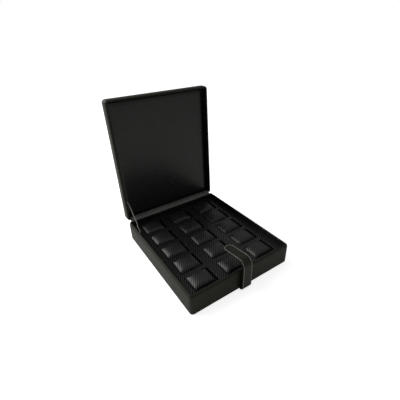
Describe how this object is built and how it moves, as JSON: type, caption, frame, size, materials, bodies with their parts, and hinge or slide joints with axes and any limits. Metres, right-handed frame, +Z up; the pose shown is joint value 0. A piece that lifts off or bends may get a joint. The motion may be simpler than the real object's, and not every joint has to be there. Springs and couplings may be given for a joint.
{
  "type": "watch storage case",
  "caption": "Open leather-hinged watch case with padded pillows in a woven-look deck, a padded lid held by a stay cord, and a stitched strap closure at the front.",
  "frame": {"origin": "centre of the underside of the base, on the surface that the case stands on", "axes": "+Z up, +X right along the front, +Y to the back; the strap side faces -Y and the lid is open"},
  "size_m": [0.28, 0.366, 0.3738],
  "materials": {
    "board": "dense fibre board, hidden under the covering",
    "cover_leather": "satin black leatherette with a fine pebble grain",
    "woven_lining": "black lining with a fine diagonal twill, slightly glossy",
    "underside_card": "black flocked card",
    "foam": "dark packing foam",
    "hinge_leather": "dark grey smooth leather",
    "steel": "plain bright steel",
    "strap_leather": "black-brown grained leather with pale stitching along the edge",
    "cord": "pale grey twisted cord",
    "pillow_fabric": "black padded pillow in the same twill as the lining, satin sheen"
  },
  "bodies": {
    "base": {"base_bottom": "board", "base_front_wall": "board", "base_rear_wall": "board", "base_left_wall": "board", "base_right_wall": "board", "base_cover": "cover_leather", "base_wall_lining": "woven_lining", "base_underside": "underside_card", "tray_floor": "underside_card", "tray_rails": "foam", "tray_cross_bars": "foam", "deck_lining": "woven_lining", "inner_hinge_base": "hinge_leather", "outer_hinge_base": "hinge_leather", "stay_eyelet_base": "steel", "strap_tacks": "steel", "strap_root": "strap_leather", "stay_cord": "cord"},
    "lid": {"lid_board": "board", "lid_front_wall": "board", "lid_rear_wall": "board", "lid_left_wall": "board", "lid_right_wall": "board", "lid_cover": "cover_leather", "lid_wall_lining": "woven_lining", "lid_pad": "woven_lining", "inner_hinge_lid": "hinge_leather", "outer_hinge_lid": "hinge_leather", "stay_eyelet_lid": "steel", "strap_keeper_plate": "steel"},
    "strap_lower": {"strap_lower": "strap_leather"},
    "strap_tip": {"strap_tip": "strap_leather", "strap_magnet": "steel"},
    "pillow_1_1": {"pillow_1_1": "pillow_fabric"},
    "pillow_1_2": {"pillow_1_2": "pillow_fabric"},
    "pillow_1_3": {"pillow_1_3": "pillow_fabric"},
    "pillow_1_4": {"pillow_1_4": "pillow_fabric"},
    "pillow_1_5": {"pillow_1_5": "pillow_fabric"},
    "pillow_2_1": {"pillow_2_1": "pillow_fabric"},
    "pillow_2_2": {"pillow_2_2": "pillow_fabric"},
    "pillow_2_3": {"pillow_2_3": "pillow_fabric"},
    "pillow_2_4": {"pillow_2_4": "pillow_fabric"},
    "pillow_2_5": {"pillow_2_5": "pillow_fabric"},
    "pillow_3_1": {"pillow_3_1": "pillow_fabric"},
    "pillow_3_2": {"pillow_3_2": "pillow_fabric"},
    "pillow_3_3": {"pillow_3_3": "pillow_fabric"},
    "pillow_3_4": {"pillow_3_4": "pillow_fabric"},
    "pillow_3_5": {"pillow_3_5": "pillow_fabric"}
  },
  "joints": [
    {"name": "lid_hinge", "type": "hinge", "parent": "base", "child": "lid", "pos_m": [0, 0.16, 0.054], "axis": [1, 0, 0], "range_deg": [0, 92], "deforming": ["stay_cord"]},
    {"name": "strap_swing", "type": "hinge", "parent": "base", "child": "strap_lower", "pos_m": [0, -0.1705, 0.0097], "axis": [1, 0, 0], "range_deg": [0, 70]},
    {"name": "strap_bend", "type": "hinge", "parent": "strap_lower", "child": "strap_tip", "pos_m": [0, -0.16552, 0.07702], "axis": [1, 0, 0], "range_deg": [0, 75]},
    {"name": "pillow_1_1_lift", "type": "slide", "parent": "base", "child": "pillow_1_1", "axis": [0, 0, -1], "range_m": [-0.06, 0]},
    {"name": "pillow_1_2_lift", "type": "slide", "parent": "base", "child": "pillow_1_2", "axis": [0, 0, -1], "range_m": [-0.06, 0]},
    {"name": "pillow_1_3_lift", "type": "slide", "parent": "base", "child": "pillow_1_3", "axis": [0, 0, -1], "range_m": [-0.06, 0]},
    {"name": "pillow_1_4_lift", "type": "slide", "parent": "base", "child": "pillow_1_4", "axis": [0, 0, -1], "range_m": [-0.06, 0]},
    {"name": "pillow_1_5_lift", "type": "slide", "parent": "base", "child": "pillow_1_5", "axis": [0, 0, -1], "range_m": [-0.06, 0]},
    {"name": "pillow_2_1_lift", "type": "slide", "parent": "base", "child": "pillow_2_1", "axis": [0, 0, -1], "range_m": [-0.02, 0]},
    {"name": "pillow_2_2_lift", "type": "slide", "parent": "base", "child": "pillow_2_2", "axis": [0, 0, -1], "range_m": [-0.06, 0]},
    {"name": "pillow_2_3_lift", "type": "slide", "parent": "base", "child": "pillow_2_3", "axis": [0, 0, -1], "range_m": [-0.06, 0]},
    {"name": "pillow_2_4_lift", "type": "slide", "parent": "base", "child": "pillow_2_4", "axis": [0, 0, -1], "range_m": [-0.06, 0]},
    {"name": "pillow_2_5_lift", "type": "slide", "parent": "base", "child": "pillow_2_5", "axis": [0, 0, -1], "range_m": [-0.06, 0]},
    {"name": "pillow_3_1_lift", "type": "slide", "parent": "base", "child": "pillow_3_1", "axis": [0, 0, -1], "range_m": [-0.06, 0]},
    {"name": "pillow_3_2_lift", "type": "slide", "parent": "base", "child": "pillow_3_2", "axis": [0, 0, -1], "range_m": [-0.06, 0]},
    {"name": "pillow_3_3_lift", "type": "slide", "parent": "base", "child": "pillow_3_3", "axis": [0, 0, -1], "range_m": [-0.06, 0]},
    {"name": "pillow_3_4_lift", "type": "slide", "parent": "base", "child": "pillow_3_4", "axis": [0, 0, -1], "range_m": [-0.06, 0]},
    {"name": "pillow_3_5_lift", "type": "slide", "parent": "base", "child": "pillow_3_5", "axis": [0, 0, -1], "range_m": [-0.06, 0]}
  ],
  "couplings": [
    {"joint": "strap_swing", "follows": "lid_hinge", "ratio": 0.75}
  ]
}
